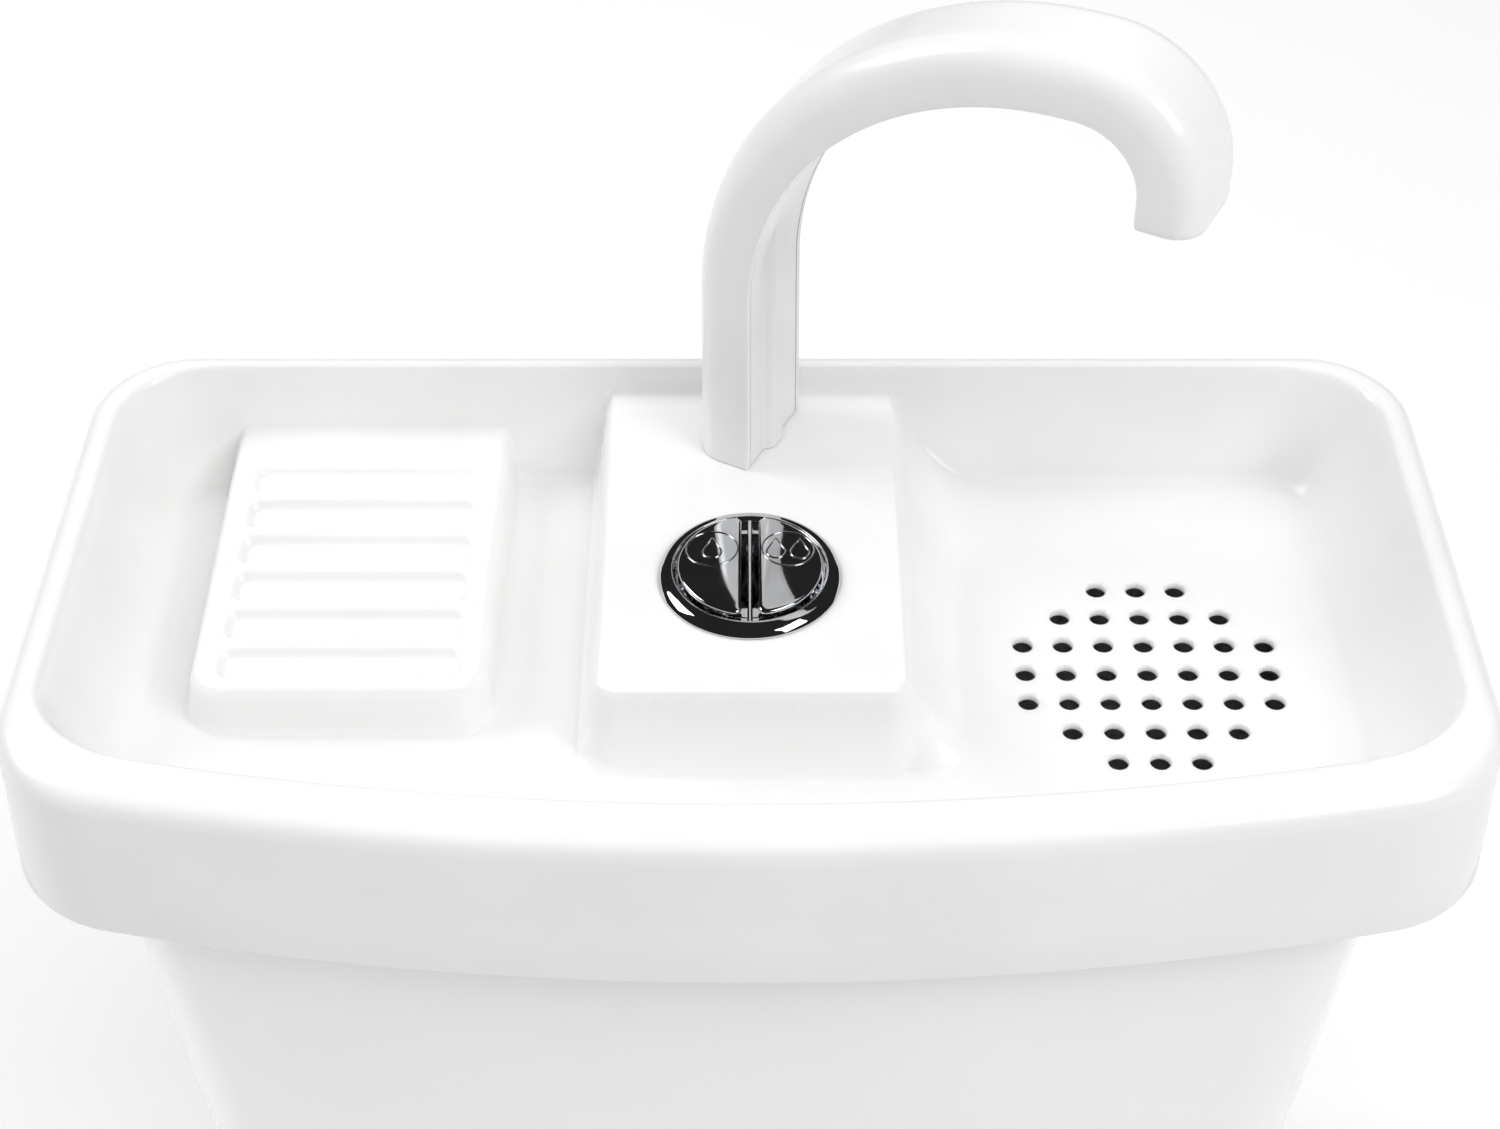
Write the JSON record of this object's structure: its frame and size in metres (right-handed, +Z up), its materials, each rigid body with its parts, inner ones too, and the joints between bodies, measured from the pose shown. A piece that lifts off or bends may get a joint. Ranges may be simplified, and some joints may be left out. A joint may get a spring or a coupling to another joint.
{
  "type": "cistern-top hand-wash sink",
  "caption": "Cistern with a hand-wash sink for a lid: gooseneck spout, dual-flush push buttons, soap dish and drain holes, with flush and fill valves inside.",
  "frame": {"origin": "under the middle of the object, level with the lower face of the outlet gasket, which seats on the toilet bowl", "axes": "+X to the right of a person at the sink, +Y to the wall, +Z up"},
  "size_m": [0.438, 0.2256, 0.5531],
  "materials": {
    "white_plastic": "gloss",
    "glazed_ceramic": "glazed",
    "chrome": "mirror",
    "valve_plastic": "satin",
    "blue_plastic": "satin",
    "black_rubber": "matt",
    "sponge_rubber": "open-cell matt",
    "spring_steel": "satin",
    "brass": "satin",
    "clear_hose": "satin"
  },
  "bodies": {
    "cistern": {"tank_shell": "glazed_ceramic", "outlet_gasket": "sponge_rubber", "tank_bolt_left": "brass", "tank_bolt_right": "brass", "bolt_washer_left": "black_rubber", "bolt_washer_right": "black_rubber", "bolt_nut_left": "brass", "bolt_nut_right": "brass", "flush_valve_base": "valve_plastic", "flush_valve_washer": "black_rubber", "spud_nut": "valve_plastic", "flush_tower": "valve_plastic", "flush_tower_cap": "valve_plastic", "lever_pin": "spring_steel", "fill_valve_stem": "valve_plastic", "fill_valve_washer": "black_rubber", "fill_valve_locknut": "valve_plastic", "fill_valve_head": "blue_plastic", "float_lever_pin": "spring_steel", "supply_hose": "clear_hose", "hose_clip_spout": "spring_steel", "hose_clip_valve": "spring_steel", "rest_pad_left_front": "black_rubber", "rest_pad_left_back": "black_rubber", "rest_pad_right_front": "black_rubber", "rest_pad_right_back": "black_rubber"},
    "sink": {"sink_basin": "white_plastic", "button_bezel": "chrome", "button_washer": "black_rubber", "button_nut": "valve_plastic", "spout_washer": "black_rubber", "half_button_spring": "spring_steel", "full_button_spring": "spring_steel"},
    "spout": {"spout_shell": "white_plastic", "spout_inner_cover": "white_plastic", "spout_water_tube": "clear_hose", "spout_outlet": "valve_plastic", "spout_shank": "valve_plastic", "spout_nut": "valve_plastic"},
    "half_button": {"half_flush_button": "chrome", "half_push_rod": "valve_plastic"},
    "full_button": {"full_flush_button": "chrome", "full_push_rod": "valve_plastic"},
    "half_lever": {"half_flush_lever": "blue_plastic"},
    "full_lever": {"full_flush_lever": "blue_plastic"},
    "canister": {"flush_canister": "white_plastic", "canister_seal": "black_rubber"},
    "half_float": {"half_flush_float": "blue_plastic"},
    "float": {"float_cup": "valve_plastic", "float_link": "spring_steel"},
    "float_lever": {"float_lever": "blue_plastic"}
  },
  "joints": [
    {"name": "sink_lift", "type": "slide", "parent": "cistern", "child": "sink", "axis": [0, 0, 1], "range_m": [0, 0.08]},
    {"name": "spout_swivel", "type": "hinge", "parent": "sink", "child": "spout", "pos_m": [-0.0013, 0.082, 0.373], "axis": [0, 0, 1], "range_deg": [-20, 25]},
    {"name": "half_button_press", "type": "slide", "parent": "sink", "child": "half_button", "axis": [0, 0, -1], "range_m": [0, 0.003], "stiffness_N_per_m": 1500, "springref_m": -0.002, "deforming": ["half_button_spring"]},
    {"name": "full_button_press", "type": "slide", "parent": "sink", "child": "full_button", "axis": [0, 0, -1], "range_m": [0, 0.003], "stiffness_N_per_m": 1500, "springref_m": -0.002, "deforming": ["full_button_spring"]},
    {"name": "half_lever_rock", "type": "hinge", "parent": "cistern", "child": "half_lever", "pos_m": [0, 0.0085, 0.285], "axis": [-1, 0, 0], "range_deg": [0, 22.6]},
    {"name": "full_lever_rock", "type": "hinge", "parent": "cistern", "child": "full_lever", "pos_m": [0, 0.0085, 0.285], "axis": [-1, 0, 0], "range_deg": [0, 22.6]},
    {"name": "half_float_lift", "type": "slide", "parent": "cistern", "child": "half_float", "axis": [0, 0, 1], "range_m": [0, 0.0084]},
    {"name": "canister_lift", "type": "slide", "parent": "cistern", "child": "canister", "axis": [0, 0, 1], "range_m": [0, 0.0084]},
    {"name": "float_rise", "type": "slide", "parent": "cistern", "child": "float", "axis": [0, 0, 1], "range_m": [0, 0.012]},
    {"name": "float_lever_rock", "type": "hinge", "parent": "cistern", "child": "float_lever", "pos_m": [-0.112, 0.005, 0.304], "axis": [0, 1, 0], "range_deg": [0, 20.6]}
  ],
  "couplings": [
    {"joint": "half_lever_rock", "follows": "half_button_press", "rad_per_m": 130.9},
    {"joint": "full_lever_rock", "follows": "full_button_press", "rad_per_m": 130.9},
    {"joint": "half_float_lift", "follows": "half_button_press", "ratio": 2.75},
    {"joint": "canister_lift", "follows": "full_button_press", "ratio": 2.75},
    {"joint": "float_lever_rock", "follows": "float_rise", "rad_per_m": 29.67}
  ]
}
